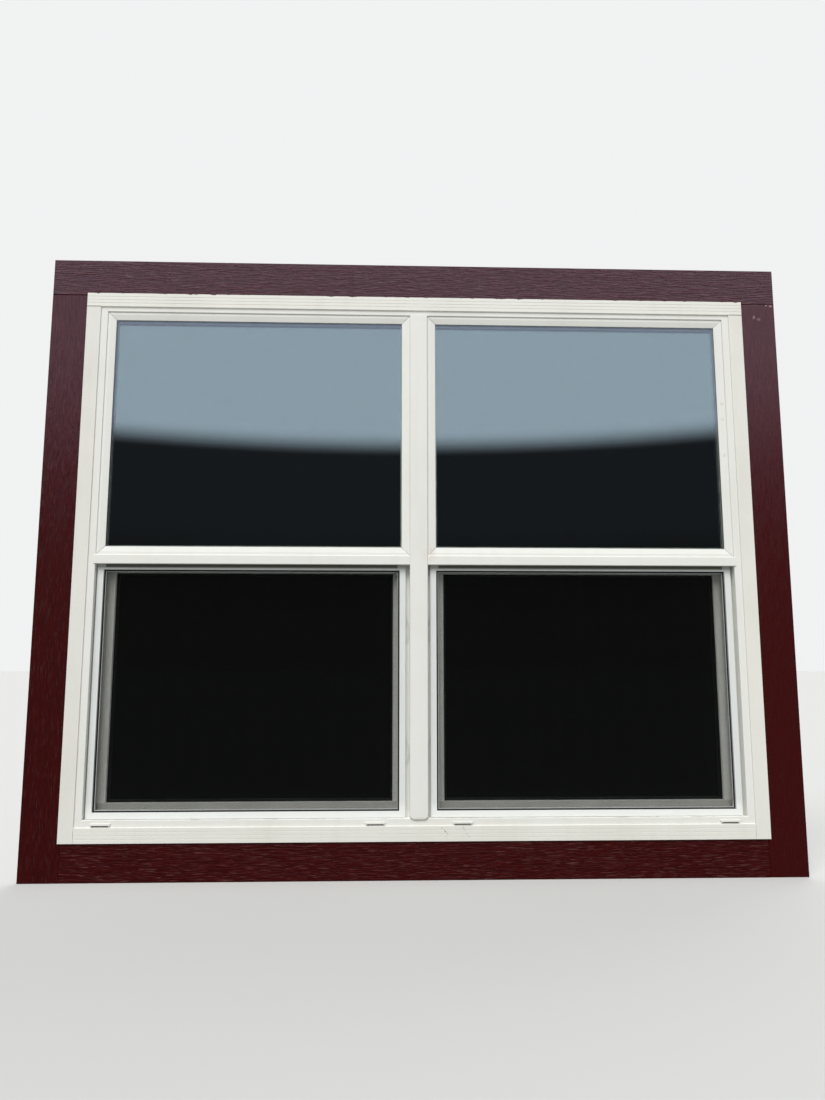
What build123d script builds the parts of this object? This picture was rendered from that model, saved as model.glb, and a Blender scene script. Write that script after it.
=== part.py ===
from build123d import *
import os

os.makedirs("parts", exist_ok=True)

# Main frame: overall size, and the faces that show round its openings
frame_width = 1584.0
frame_height = 1267.0
jamb_face = 42.5
head_face = 38.0
sill_face = 42.5
mullion_width = 42.0

# Section of the frame, from the outdoor face to the room
bearing_depth = 64.0
fin_thick = 1.5
casing_thick = 19.0
pocket_depth = 23.0
stop_thick = 12.0
stop_reach = 15.5
track_depth = 8.0
lip_radius = 1.5
sill_lip_thick = 6.0
sill_nose_radius = 2.4
channel_drop_front = 4.5
channel_drop_back = 1.0
sill_dam_rise = 9.5

# Nailing fin and its slots
fin_reach = 32.0
slot_length = 14.0
slot_width = 5.0
slot_pitch_up = 255.0
slot_pitch_across = 290.0
slots_up = 5
slots_across = 6

# Screw holes through the jambs, in the sash track above the meeting rail
jamb_screw_radius = 2.5
jamb_screw_spacing = 370.0
jamb_screw_height = 945.0
jamb_screw_inset = 4.25

# Casing boards and trim strips
casing_board = 89.0
casing_gap = 3.0
casing_edge = 1.2
strip_width = 34.0
strip_thick = 3.0
strip_lap = 8.0
strip_edge = 0.5
reed_width = 1.0
reed_depth = 0.4
reed_pitch = 8.0
reed_count = 3

# Mullion cap
cap_thick = 3.5
cap_edge = 2.0
cap_foot_radius = 11.0
cap_lap = 3.5

# Fixed meeting rail
rail_height = 616.0
nose_height = 22.0
nose_thick = 10.0
nose_proud = 2.0
nose_lap = 3.5
nose_top_radius = 2.2
nose_foot_radius = 1.4
screen_head_room = 8.0
rail_leg = 3.0

# Insulating glass
pane_thick = 3.0
pane_gap = 10.0
spacer_setback = 4.0
spacer_width = 12.5

# Upper lite
glass_edge_gap = 6.0
block_length = 80.0
bead_face = 19.5
bead_recess = 2.5
bead_flat = 6.5
bead_inner_edge = 1.8
bead_leg_thick = 4.5
bead_leg_depth = 7.5
mitre_gap = 0.2

# Lower sash
sash_thick = 32.0
sash_front_gap = 1.5
sash_back_gap = 2.0
sash_side_gap = 1.5
sash_lift_gap = 2.0
sash_over_rail = 2.0
stile_face = 46.0
sash_top_face = 42.0
sash_bottom_face = 38.0
sash_leg = 4.5
sash_leg_bevel = 2.0
rebate = 14.0
glass_bite = 12.0
sash_bead_lap = 1.0
sash_bead_nose = 2.5
sash_bead_flat = 3.0
lift_height = 18.0
lift_reach = 14.0
lift_thick = 3.0
lift_hook = 4.0
lift_end_gap = 4.0

# Seals
seal_gap = 0.3
pile_width = 6.0
pile_inset = 12.0
bulb_width = 12.0

# Screws of the locks, keepers, balances and brackets
screw_radius = 1.5
screw_head_radius = 2.9
screw_head_height = 1.5
screw_head_taper = 25.0
screw_sides = 6
screw_fit = 0.1
screw_length = 9.0
balance_screw_bite = 1.5

# Cam lock and keeper
lock_length = 62.0
lock_width = 20.0
lock_base_thick = 3.0
lock_base_corner = 5.0
lock_pivot_offset = 4.0
lock_pin_radius = 3.0
lock_pin_head_radius = 4.6
lock_pin_head_height = 1.4
lock_pin_fit = 0.08
lock_screw_inset = 7.0
hub_radius = 7.0
hub_height = 8.6
lever_gap = 0.3
cam_gap = 1.0
cam_tip_radius = 5.0
cam_thick = 3.0
lever_reach = 36.0
lever_tip_radius = 4.5
lever_thick = 3.6
keeper_length = 58.0
keeper_hook_length = 30.0
keeper_thick = 2.0
keeper_gap = 0.7

# Spiral balances
balance_pocket_depth = 11.0
balance_pocket_width = 18.0
tube_radius = 5.0
tube_wall = 0.8
tube_sides = 10
tube_length = 560.0
tube_head_gap = 9.0
tube_screw_drop = 12.0
rod_width = 5.4
rod_thick = 1.2
rod_pitch = 320.0
rod_overlap = 25.0
bracket_width = 12.0
bracket_height = 22.0
bracket_thick = 1.5
bracket_rise = 2.0
bracket_shelf = 11.5

# Half screens
screen_side_gap = 6.25
screen_shift = {"left": -3.5, "right": 0.0}
screen_seat_gap = 0.3
screen_top_lap = 2.0
screen_back_gap = 0.5
bar_width = 19.0
bar_thick = 11.0
bar_tube_width = 14.0
bar_flange_thick = 5.0
bar_wall = 1.0
spline_groove = 3.5
spline_groove_depth = 3.5
spline_fit = 0.1
spline_proud = 0.4
mesh_thick = 0.3
key_tongue = 22.0
key_fit = 0.2
spring_length = 64.0
spring_thick = 0.6
spring_width = 7.0
spring_flat = 12.0
spring_toe = 3.0
spring_height = 150.0

# Weep hole covers on the sill's face
weep_from_mullion = 77.5
weep_from_jamb = 41.0
weep_length = 48.0
weep_height = 7.0
weep_thick = 2.5
weep_end_angle = 62.0
weep_taper = 6.0
weep_rise = 31.5
weep_slot_length = 37.0
weep_slot_height = 2.2
weep_slot_depth = 1.4

# Planes across the depth, y = 0 being the middle of the sill's bearing face
fin_back = -bearing_depth / 2
fin_front = fin_back - fin_thick
front = fin_front - casing_thick
stop_front = front + pocket_depth
stop_back = stop_front + stop_thick
sash_front = stop_back + sash_front_gap
sash_back = sash_front + sash_thick
track_back = sash_back + sash_back_gap
room = bearing_depth / 2
sash_middle = (sash_front + sash_back) / 2
pocket_front = sash_middle - balance_pocket_width / 2
pocket_back = sash_middle + balance_pocket_width / 2
glass_thick = 2 * pane_thick + pane_gap
upper_glass_front = stop_front - glass_thick
sash_glass_front = sash_front + sash_leg
sash_glass_back = sash_glass_front + glass_thick
screen_back = stop_front - screen_back_gap
screen_front = screen_back - bar_thick
flange_front = screen_back - bar_flange_thick
leg_back = stop_front + rail_leg
keeper_y = (leg_back + stop_back) / 2
lock_pivot_y = sash_middle - lock_pivot_offset
cam_reach = lock_pivot_y - (leg_back + keeper_thick) - cam_gap

# Heights
opening_top = frame_height - head_face
track_floor = sill_face - track_depth
rail_top = rail_height + nose_height
sash_low = track_floor + sash_lift_gap
sash_high = rail_top + sash_over_rail
sash_glass_low = sash_low + sash_bottom_face - glass_bite
sash_glass_high = sash_high - sash_top_face + glass_bite
screen_low = sill_face - channel_drop_back + screen_seat_gap
screen_high = rail_height + screen_top_lap
balance_top = opening_top + track_depth - tube_head_gap
tube_low = balance_top - tube_length
lever_low = sash_high + lock_base_thick + lever_gap
keeper_hook_low = lever_low + cam_thick + keeper_gap

# Places across the width
opening_width = (frame_width - 2 * jamb_face - mullion_width) / 2
unit_centre = (mullion_width + opening_width) / 2
sash_width = opening_width + 2 * (track_depth - sash_side_gap)
screen_width = opening_width - 2 * screen_side_gap
track_half = opening_width / 2 + track_depth
balance_offset = track_half + balance_pocket_depth / 2
sides = {"left": -1, "right": 1}


def save(piece, name):
    piece.part.label = name
    export_step(piece.part, f"parts/{name}.step")


def together(pieces):
    """One node for like pieces that stay separate solids."""
    with BuildPart() as group:
        for piece in pieces:
            add(piece.part)
    return group


def plate(middle, size, face_y, thick):
    """A flat upright plate; middle and size are in x and z, face_y is its outdoor face."""
    with BuildPart() as piece:
        with BuildSketch(Plane.XZ.offset(-face_y)):
            with Locations(middle):
                Rectangle(*size)
        extrude(amount=-thick)
    return piece


def frame_of_runs(outline, left, right, low, high):
    """Four runs of one section, given as reach from the wall and y, round an opening."""
    with BuildPart() as ring:
        with BuildSketch(Plane.YZ.offset(left)):
            with BuildLine():
                Polyline(*[(y, low + reach) for reach, y in outline], close=True)
            make_face()
            with BuildLine():
                Polyline(*[(y, high - reach) for reach, y in outline], close=True)
            make_face()
        extrude(amount=right - left)
        with BuildSketch(Plane.XY.offset(low)):
            with BuildLine():
                Polyline(*[(left + reach, y) for reach, y in outline], close=True)
            make_face()
            with BuildLine():
                Polyline(*[(right - reach, y) for reach, y in outline], close=True)
            make_face()
        extrude(amount=high - low)
    return ring


def mitred_beads(outline, left, right, low, high):
    """Four beads round an opening, parted by a narrow mitre at each corner."""
    cut_length = 4 * max(reach for reach, y in outline)
    runs = frame_of_runs(outline, left, right, low, high)
    with BuildPart() as beads:
        add(runs.part)
        with BuildSketch(Plane.XZ):
            with Locations((left, low), (right, high)):
                Rectangle(cut_length, mitre_gap, rotation=45)
            with Locations((left, high), (right, low)):
                Rectangle(cut_length, mitre_gap, rotation=-45)
        extrude(amount=2 * bearing_depth, both=True, mode=Mode.SUBTRACT)
    return beads


def panes(middle, size, face_y):
    """The two panes of one insulating glass unit."""
    outdoor = plate(middle, size, face_y, pane_thick)
    indoor = plate(middle, size, face_y + pane_thick + pane_gap, pane_thick)
    return together([outdoor, indoor])


def border(middle, size, outer_inset, inner_inset, face_y, thick):
    """A flat ring between two insets from a rectangle's edge."""
    with BuildPart() as ring:
        with BuildSketch(Plane.XZ.offset(-face_y)):
            with Locations(middle):
                Rectangle(size[0] - 2 * outer_inset, size[1] - 2 * outer_inset)
                Rectangle(size[0] - 2 * inner_inset, size[1] - 2 * inner_inset, mode=Mode.SUBTRACT)
        extrude(amount=-thick)
    return ring


def spacer(middle, size, face_y):
    """The spacer bar between two panes."""
    inner = spacer_setback + spacer_width
    return border(middle, size, spacer_setback, inner, face_y + pane_thick, pane_gap)


def screws(spots, towards, length):
    """Small screws with few sides: a spot is where a head seats, and towards is the way it drives."""
    with BuildPart() as group:
        for spot in spots:
            seat = Plane(origin=spot, z_dir=towards)
            with BuildSketch(seat):
                RegularPolygon(screw_radius, screw_sides)
            extrude(amount=length)
            with BuildSketch(seat):
                RegularPolygon(screw_head_radius, screw_sides)
            extrude(amount=-screw_head_height, taper=screw_head_taper)
    return group


def screw_holes(spots, towards, length):
    """The room that screws take, with their clearance, to be cut from what they pass through."""
    with BuildPart() as holes:
        for spot in spots:
            with BuildSketch(Plane(origin=spot, z_dir=towards)):
                RegularPolygon(screw_radius + screw_fit, screw_sides)
            extrude(amount=length)
    return holes


# Main frame
sill_points = [
    (front, 0),
    (front, sill_face),
    (front + sill_lip_thick, sill_face),
    (front + sill_lip_thick, sill_face - channel_drop_front),
    (stop_front, sill_face - channel_drop_back),
    (stop_front, sill_face + stop_reach),
    (stop_back, sill_face + stop_reach),
    (stop_back, track_floor),
    (track_back, track_floor),
    (track_back, track_floor + sill_dam_rise),
    (room, track_floor + sill_dam_rise),
    (room, 0),
]
sill_radii = [0, sill_nose_radius, sill_nose_radius] + [0] * 9
head_points = [
    (front, frame_height),
    (front, opening_top),
    (stop_front, opening_top),
    (stop_front, opening_top - stop_reach),
    (stop_back, opening_top - stop_reach),
    (stop_back, opening_top + track_depth),
    (track_back, opening_top + track_depth),
    (track_back, opening_top),
    (room, opening_top),
    (room, frame_height),
]
head_radii = [0, lip_radius] + [0] * 8


def upright_points(outer, lip):
    """Section of a jamb or half mullion from its outer line to its lip, in x and y."""
    inward = 1 if lip > outer else -1
    stop = lip + inward * stop_reach
    track = lip - inward * track_depth
    pocket = track - inward * balance_pocket_depth
    return [
        (outer, front),
        (lip, front),
        (lip, stop_front),
        (stop, stop_front),
        (stop, stop_back),
        (track, stop_back),
        (track, pocket_front),
        (pocket, pocket_front),
        (pocket, pocket_back),
        (track, pocket_back),
        (track, track_back),
        (lip, track_back),
        (lip, room),
        (outer, room),
    ]


jamb_points = upright_points(-frame_width / 2, -frame_width / 2 + jamb_face)
jamb_radii = [0, lip_radius] + [0] * 12
jamb_track = frame_width / 2 - jamb_face + track_depth
jamb_screw_y = stop_back + jamb_screw_inset
tube_screw_z = balance_top - tube_screw_drop


def tube_screw_spots(centre, end):
    """Where the head of a balance tube's screw seats, on the tube's sash side."""
    return [(centre + end * (balance_offset - tube_radius), sash_middle, tube_screw_z)]


def tube_screw_holes(side, end):
    return screw_holes(tube_screw_spots(side * unit_centre, end), (end, 0, 0), tube_screw_length)


tube_screw_length = tube_radius + balance_pocket_depth / 2 + balance_screw_bite
jamb_screw_holes = [tube_screw_holes(side, side) for side in sides.values()]
mullion_screw_holes = [tube_screw_holes(side, -side) for side in sides.values()]

with BuildPart() as main_frame:
    with BuildSketch(Plane.YZ.offset(-frame_width / 2)):
        with BuildLine():
            FilletPolyline(*sill_points, radius=sill_radii, close=True)
        make_face()
        with BuildLine():
            FilletPolyline(*head_points, radius=head_radii, close=True)
        make_face()
    extrude(amount=frame_width)
    with BuildSketch(Plane.XY):
        with BuildLine():
            FilletPolyline(*jamb_points, radius=jamb_radii, close=True)
        make_face()
        mirror(about=Plane.YZ)
    extrude(amount=frame_height)
    with BuildSketch(Plane.XZ.offset(-fin_back)):
        with Locations((0, frame_height / 2)):
            Rectangle(frame_width + 2 * fin_reach, frame_height + 2 * fin_reach)
            Rectangle(frame_width, frame_height, mode=Mode.SUBTRACT)
            with GridLocations(frame_width + fin_reach, slot_pitch_up, 2, slots_up):
                Rectangle(slot_width, slot_length, mode=Mode.SUBTRACT)
            with GridLocations(slot_pitch_across, frame_height + fin_reach, slots_across, 2):
                Rectangle(slot_length, slot_width, mode=Mode.SUBTRACT)
    extrude(amount=fin_thick)
    for side in sides.values():
        jamb_wall = Plane(origin=(side * jamb_track, 0, 0), x_dir=(0, 1, 0), z_dir=(side, 0, 0))
        with BuildSketch(jamb_wall):
            with Locations((jamb_screw_y, side * jamb_screw_height)):
                with GridLocations(1, jamb_screw_spacing, 1, 2):
                    Circle(jamb_screw_radius)
        extrude(amount=jamb_face, mode=Mode.SUBTRACT)
    for holes in jamb_screw_holes:
        add(holes.part, mode=Mode.SUBTRACT)
save(main_frame, "main_frame")

# Centre mullion, coped over the sill and head of the frame
mullion_points = upright_points(0, mullion_width / 2)
with BuildPart() as centre_mullion:
    with BuildSketch(Plane.XY.offset(track_floor)):
        with BuildLine():
            FilletPolyline(*mullion_points, radius=jamb_radii, close=True)
        make_face()
        mirror(about=Plane.YZ)
    extrude(amount=opening_top + track_depth - track_floor)
    add(main_frame.part, mode=Mode.SUBTRACT)
    for holes in mullion_screw_holes:
        add(holes.part, mode=Mode.SUBTRACT)
save(centre_mullion, "centre_mullion")

# Cap over the mullion's face, butted under the head's face, with eased edges
cap_low = sill_face - cap_lap
with BuildPart() as mullion_cap:
    with BuildSketch(Plane.XZ.offset(-front)):
        with Locations((0, (cap_low + opening_top) / 2)):
            cap_face = Rectangle(mullion_width, opening_top - cap_low)
        fillet(cap_face.vertices().sort_by(Axis.Z)[:2], cap_foot_radius)
    extrude(amount=cap_thick)
    eased = mullion_cap.faces().sort_by(Axis.Y)[0].edges()
    chamfer(eased.filter_by(Axis.X, reverse=True), cap_edge)
save(mullion_cap, "mullion_cap")

# Casing boards: the head board runs over the side boards, and the bottom board fits between
casing_inner = frame_width / 2 + casing_gap
casing_outer = casing_inner + casing_board
casing_head_low = frame_height + casing_gap
casing_low = -casing_gap - casing_board
casing_boards = {
    "casing_head": ((0, casing_head_low + casing_board / 2), (2 * casing_outer, casing_board)),
    "casing_bottom": ((0, casing_low + casing_board / 2), (2 * casing_inner, casing_board)),
}
for name, side in sides.items():
    casing_boards[f"casing_{name}"] = (
        (side * (casing_inner + casing_board / 2), (casing_low + casing_head_low) / 2),
        (casing_board, casing_head_low - casing_low),
    )
for name, (middle, size) in casing_boards.items():
    blank = plate(middle, size, front, casing_thick)
    with BuildPart() as board:
        add(blank.part)
        chamfer(board.faces().sort_by(Axis.Y)[0].edges(), casing_edge)
    save(board, name)

# Flat trim strips, lapping the frame's face and the boards
strip_outer = frame_width / 2 + strip_lap
strip_inner = strip_outer - strip_width
strip_high = frame_height + strip_lap
strip_low = -strip_lap
trim_strips = {
    "trim_head": ((0, strip_high - strip_width / 2), (2 * strip_outer, strip_width)),
    "trim_sill": ((0, strip_low + strip_width / 2), (2 * strip_inner, strip_width)),
}
for name, side in sides.items():
    trim_strips[f"trim_{name}"] = (
        (side * (strip_outer - strip_width / 2), (strip_low + strip_high - strip_width) / 2),
        (strip_width, strip_high - strip_width - strip_low),
    )
for name, (middle, size) in trim_strips.items():
    blank = plate(middle, size, front - strip_thick, strip_thick)
    with BuildPart() as strip:
        add(blank.part)
        chamfer(strip.faces().sort_by(Axis.Y)[0].edges(), strip_edge)
        if name in ("trim_head", "trim_sill"):
            with BuildSketch(Plane.XZ.offset(strip_thick - front)):
                with Locations(middle):
                    with GridLocations(1, reed_pitch, 1, reed_count):
                        Rectangle(size[0] + 2 * strip_edge, reed_width)
            extrude(amount=-reed_depth, mode=Mode.SUBTRACT)
    save(strip, name)

# Weep hole covers: hoods with sloped ends and a slot along the foot
weep_places = (mullion_width / 2 + weep_from_mullion, frame_width / 2 - jamb_face - weep_from_jamb)
with BuildPart() as weep_covers:
    for x in [side * reach for side in sides.values() for reach in weep_places]:
        with BuildSketch(Plane.XZ.offset(-front)):
            with Locations((x, weep_rise)):
                Trapezoid(weep_length, weep_height, weep_end_angle, rotation=180)
        extrude(amount=weep_thick, taper=weep_taper)
        with BuildSketch(Plane.XZ.offset(weep_thick - front)):
            with Locations((x, weep_rise - weep_height / 2)):
                Rectangle(weep_slot_length, 2 * weep_slot_height)
        extrude(amount=-weep_slot_depth, mode=Mode.SUBTRACT)
save(weep_covers, "weep_covers")

# Sections of the glazing beads, as reach from the wall and y
bead_front = front + bead_recess
upper_bead = [
    (0, bead_front),
    (bead_flat, bead_front),
    (bead_face, upper_glass_front - bead_inner_edge),
    (bead_face, upper_glass_front),
    (bead_leg_thick, upper_glass_front),
    (bead_leg_thick, upper_glass_front + bead_leg_depth),
    (0, upper_glass_front + bead_leg_depth),
]
sash_bead = [
    (0, sash_glass_back),
    (rebate + sash_bead_lap, sash_glass_back),
    (rebate + sash_bead_lap, sash_glass_back + sash_bead_nose),
    (sash_bead_flat, sash_back),
    (0, sash_back),
]

# Sections of the meeting rail and of the sash's rails, in y and z
rail_points = [
    (front - nose_proud, rail_top),
    (front - nose_proud, rail_height),
    (front + nose_thick - nose_proud, rail_height),
    (front + nose_thick - nose_proud, rail_height + screen_head_room),
    (stop_front, rail_height + screen_head_room),
    (stop_front, rail_height - stop_reach),
    (stop_back, rail_height - stop_reach),
    (stop_back, rail_top),
    (leg_back, rail_top),
    (leg_back, rail_top + stop_reach),
    (stop_front, rail_top + stop_reach),
    (stop_front, rail_top),
]
rail_radii = [nose_top_radius, nose_foot_radius] + [0] * 10


def sash_rail_points(edge, daylight):
    """Section of a sash rail from its outer edge to the daylight edge of its outdoor leg."""
    inward = 1 if daylight > edge else -1
    floor = daylight - inward * rebate
    return [
        (sash_front, edge),
        (sash_front, daylight - inward * sash_leg_bevel),
        (sash_glass_front, daylight),
        (sash_glass_front, floor),
        (sash_back, floor),
        (sash_back, edge),
    ]


bottom_rail_points = sash_rail_points(sash_low, sash_low + sash_bottom_face)
top_rail_points = sash_rail_points(sash_high, sash_high - sash_top_face)
lift_foot = sash_low + lift_height
lift_points = [
    (sash_back, lift_foot),
    (sash_back + lift_reach - lift_thick, lift_foot),
    (sash_back + lift_reach - lift_thick, lift_foot - lift_hook),
    (sash_back + lift_reach, lift_foot - lift_hook),
    (sash_back + lift_reach, lift_foot + lift_thick),
    (sash_back, lift_foot + lift_thick),
]
bracket_low = sash_low + bracket_rise
shelf_top = bracket_low + bracket_height / 2


def opening_walls(side):
    """Middle, left wall and right wall of a unit's opening."""
    centre = side * unit_centre
    return centre, centre - opening_width / 2, centre + opening_width / 2


def keeper_screw_spots(side):
    reach = keeper_length / 2 - lock_screw_inset
    centre = side * unit_centre
    return [(centre + end * reach, keeper_y, rail_top + keeper_thick) for end in (-1, 1)]


def lock_screw_spots(side):
    reach = lock_length / 2 - lock_screw_inset
    centre = side * unit_centre
    return [(centre + end * reach, lock_pivot_y, sash_high + lock_base_thick) for end in (-1, 1)]


def bracket_screw_spot(side, end):
    edge = side * unit_centre + end * sash_width / 2
    height = (shelf_top + bracket_low + bracket_height) / 2
    return [(edge + end * bracket_thick, sash_middle, height)]


def bracket_screw_holes(side, end, length):
    return screw_holes(bracket_screw_spot(side, end), (-end, 0, 0), length)


def meeting_rail(side):
    """The rail between the jamb and the mullion, with its nose lapping the jamb's face."""
    mullion_edge = side * mullion_width / 2
    jamb_edge = side * (mullion_width / 2 + opening_width + nose_lap)
    holes = screw_holes(keeper_screw_spots(side), (0, 0, -1), screw_length)
    with BuildPart() as rail:
        with BuildSketch(Plane.YZ.offset(min(mullion_edge, jamb_edge))):
            with BuildLine():
                FilletPolyline(*rail_points, radius=rail_radii, close=True)
            make_face()
        extrude(amount=opening_width + nose_lap)
        add(main_frame.part, mode=Mode.SUBTRACT)
        add(centre_mullion.part, mode=Mode.SUBTRACT)
        add(holes.part, mode=Mode.SUBTRACT)
    return rail


def keeper(side):
    """A screwed plate with a hook that the cam turns in under."""
    centre = side * unit_centre
    holes = screw_holes(keeper_screw_spots(side), (0, 0, -1), keeper_thick)
    with BuildPart() as catch:
        with BuildSketch(Plane.XY.offset(rail_top)):
            with Locations((centre, keeper_y)):
                Rectangle(keeper_length, stop_back - leg_back)
        extrude(amount=keeper_thick)
        with BuildSketch(Plane.YZ.offset(centre - keeper_hook_length / 2)):
            with BuildLine():
                FilletPolyline(
                    (leg_back, rail_top),
                    (leg_back, keeper_hook_low + keeper_thick),
                    (stop_back - keeper_thick, keeper_hook_low + keeper_thick),
                    (stop_back - keeper_thick, keeper_hook_low),
                    (leg_back + keeper_thick, keeper_hook_low),
                    (leg_back + keeper_thick, rail_top),
                    radius=[0, keeper_thick / 2, 0, 0, 0, 0],
                    close=True,
                )
            make_face()
        extrude(amount=keeper_hook_length)
        add(holes.part, mode=Mode.SUBTRACT)
    return catch


def rail_seal(side):
    """Pile along the back of the meeting rail, facing the sash's top rail."""
    length = opening_width - 2 * stop_reach - 2 * sash_side_gap
    with BuildPart() as seal:
        with Locations((side * unit_centre, stop_back, rail_height + nose_height / 2)):
            pile_thick = sash_front_gap - seal_gap
            Box(length, pile_thick, pile_width, align=(Align.CENTER, Align.MIN, Align.CENTER))
    return seal


def setting_blocks(side):
    """Two blocks that carry the upper glass on the meeting rail."""
    block_front = upper_glass_front + bead_leg_depth
    with BuildPart() as blocks:
        with Locations((side * unit_centre, (block_front + stop_front) / 2, rail_top)):
            with GridLocations(opening_width / 2, 1, 2, 1):
                alignment = (Align.CENTER, Align.CENTER, Align.MIN)
                Box(block_length, stop_front - block_front, glass_edge_gap, align=alignment)
    return blocks


def screen_outline(name):
    """Middle and size of a screen, in x and z."""
    middle = (sides[name] * unit_centre + screen_shift[name], (screen_low + screen_high) / 2)
    return middle, (screen_width, screen_high - screen_low)


def screen_border(name):
    """The screen's rolled section all round: tube, flange and spline groove."""
    middle, size = screen_outline(name)
    groove_edge = bar_tube_width + spline_groove
    tube = border(middle, size, 0, bar_tube_width, screen_front, bar_thick)
    flange = border(middle, size, bar_tube_width, bar_width, flange_front, bar_flange_thick)
    groove = border(middle, size, bar_tube_width, groove_edge, flange_front, spline_groove_depth)
    with BuildPart() as ring:
        add(tube.part)
        add(flange.part)
        add(groove.part, mode=Mode.SUBTRACT)
    return ring


def screen_bars(name):
    """Four hollow bars, cut short of the corners."""
    (x, z), (width, height) = screen_outline(name)
    depth = (screen_front + screen_back) / 2
    hollow = bar_tube_width - 2 * bar_wall
    hollow_thick = bar_thick - 2 * bar_wall
    whole = screen_border(name)
    with BuildPart() as bars:
        add(whole.part)
        with Locations((x, depth, z)):
            with GridLocations(width - bar_tube_width, 1, 2, 1):
                Box(hollow, hollow_thick, height, mode=Mode.SUBTRACT)
        for z_bar in (z - (height - bar_tube_width) / 2, z + (height - bar_tube_width) / 2):
            with Locations((x, depth, z_bar)):
                Box(width, hollow_thick, hollow, mode=Mode.SUBTRACT)
        for z_corner in (z - (height - bar_width) / 2, z + (height - bar_width) / 2):
            with Locations((x, depth, z_corner)):
                with GridLocations(width - bar_width, 1, 2, 1):
                    Box(bar_width, 2 * bar_thick, bar_width, mode=Mode.SUBTRACT)
    return bars


def screen_corner_keys(name):
    """Four corner pieces of the same outline, with two tongues each for the bars."""
    (x, z), (width, height) = screen_outline(name)
    depth = (screen_front + screen_back) / 2
    tongue = bar_tube_width - 2 * bar_wall - 2 * key_fit
    tongue_thick = bar_thick - 2 * bar_wall - 2 * key_fit
    whole = screen_border(name)
    with BuildPart() as keys:
        add(whole.part)
        with Locations((x, depth, z)):
            Box(width - 2 * bar_width, 2 * bar_thick, height + 1, mode=Mode.SUBTRACT)
            Box(width + 1, 2 * bar_thick, height - 2 * bar_width, mode=Mode.SUBTRACT)
        for across in (-1, 1):
            for up in (-1, 1):
                x_tube = x + across * (width - bar_tube_width) / 2
                z_tube = z + up * (height - bar_tube_width) / 2
                x_tongue = x + across * (width / 2 - bar_width - key_tongue / 2)
                z_tongue = z + up * (height / 2 - bar_width - key_tongue / 2)
                with Locations((x_tongue, depth, z_tube)):
                    Box(key_tongue, tongue_thick, tongue)
                with Locations((x_tube, depth, z_tongue)):
                    Box(tongue, tongue_thick, key_tongue)
    return keys


def screen_spline(name):
    """The cord that holds the mesh in the groove."""
    middle, size = screen_outline(name)
    outer = bar_tube_width + spline_fit
    inner = bar_tube_width + spline_groove - spline_fit
    thick = spline_groove_depth + spline_proud
    return border(middle, size, outer, inner, flange_front - spline_proud, thick)


def screen_mesh(name):
    """The insect mesh, laid on the lip of the bars inside the spline."""
    middle, (width, height) = screen_outline(name)
    inset = 2 * (bar_tube_width + spline_groove)
    return plate(middle, (width - inset, height - inset), flange_front - mesh_thick, mesh_thick)


def screen_springs(name):
    """Two bent leaf springs between the screen and the mullion."""
    side = sides[name]
    (x, z), (width, height) = screen_outline(name)
    bar_edge = x - side * width / 2
    crown = side * mullion_width / 2 + side * seal_gap
    inner_crown = crown + side * spring_thick
    with BuildPart() as springs:
        with BuildSketch(Plane.XZ.offset(-(screen_front + screen_back) / 2)):
            for middle in (screen_low + spring_height, screen_high - spring_height):
                foot = middle - spring_length / 2
                head = middle + spring_length / 2
                with BuildLine():
                    Polyline(
                        (bar_edge, foot),
                        (crown, middle - spring_flat / 2),
                        (crown, middle + spring_flat / 2),
                        (bar_edge, head),
                        (bar_edge, head - spring_toe),
                        (inner_crown, middle + spring_flat / 2),
                        (inner_crown, middle - spring_flat / 2),
                        (bar_edge, foot + spring_toe),
                        close=True,
                    )
                make_face()
        extrude(amount=spring_width / 2, both=True)
    return springs


def sash_bottom_rail(side):
    """The bottom rail, with the lift lip along its room side."""
    centre, left, right = opening_walls(side)
    holes = [bracket_screw_holes(side, end, screw_length) for end in (-1, 1)]
    with BuildPart() as rail:
        with BuildSketch(Plane.YZ.offset(centre - sash_width / 2)):
            with BuildLine():
                Polyline(*bottom_rail_points, close=True)
            make_face()
        extrude(amount=sash_width)
        with BuildSketch(Plane.YZ.offset(left + lift_end_gap)):
            with BuildLine():
                FilletPolyline(*lift_points, radius=[0, 0, 1, 1, 2, 0], close=True)
            make_face()
        extrude(amount=right - left - 2 * lift_end_gap)
        for hole in holes:
            add(hole.part, mode=Mode.SUBTRACT)
    return rail


def sash_top_rail(side):
    """The top rail, bored for the lock's screws."""
    centre = side * unit_centre
    holes = screw_holes(lock_screw_spots(side), (0, 0, -1), screw_length)
    with BuildPart() as rail:
        with BuildSketch(Plane.YZ.offset(centre - sash_width / 2)):
            with BuildLine():
                Polyline(*top_rail_points, close=True)
            make_face()
        extrude(amount=sash_width)
        add(holes.part, mode=Mode.SUBTRACT)
    return rail


def sash_stile(side, end, rails):
    """A stile fitted between the two rails, its inner part housed in their rebates."""
    edge = side * unit_centre + end * sash_width / 2
    daylight = edge - end * stile_face
    low = sash_low + sash_bottom_face - rebate
    high = sash_high - sash_top_face + rebate
    with BuildPart() as stile:
        with BuildSketch(Plane.XY.offset(low)):
            with BuildLine():
                Polyline(*[(x, y) for y, x in sash_rail_points(edge, daylight)], close=True)
            make_face()
        extrude(amount=high - low)
        for rail in rails:
            add(rail.part, mode=Mode.SUBTRACT)
    return stile


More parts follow.
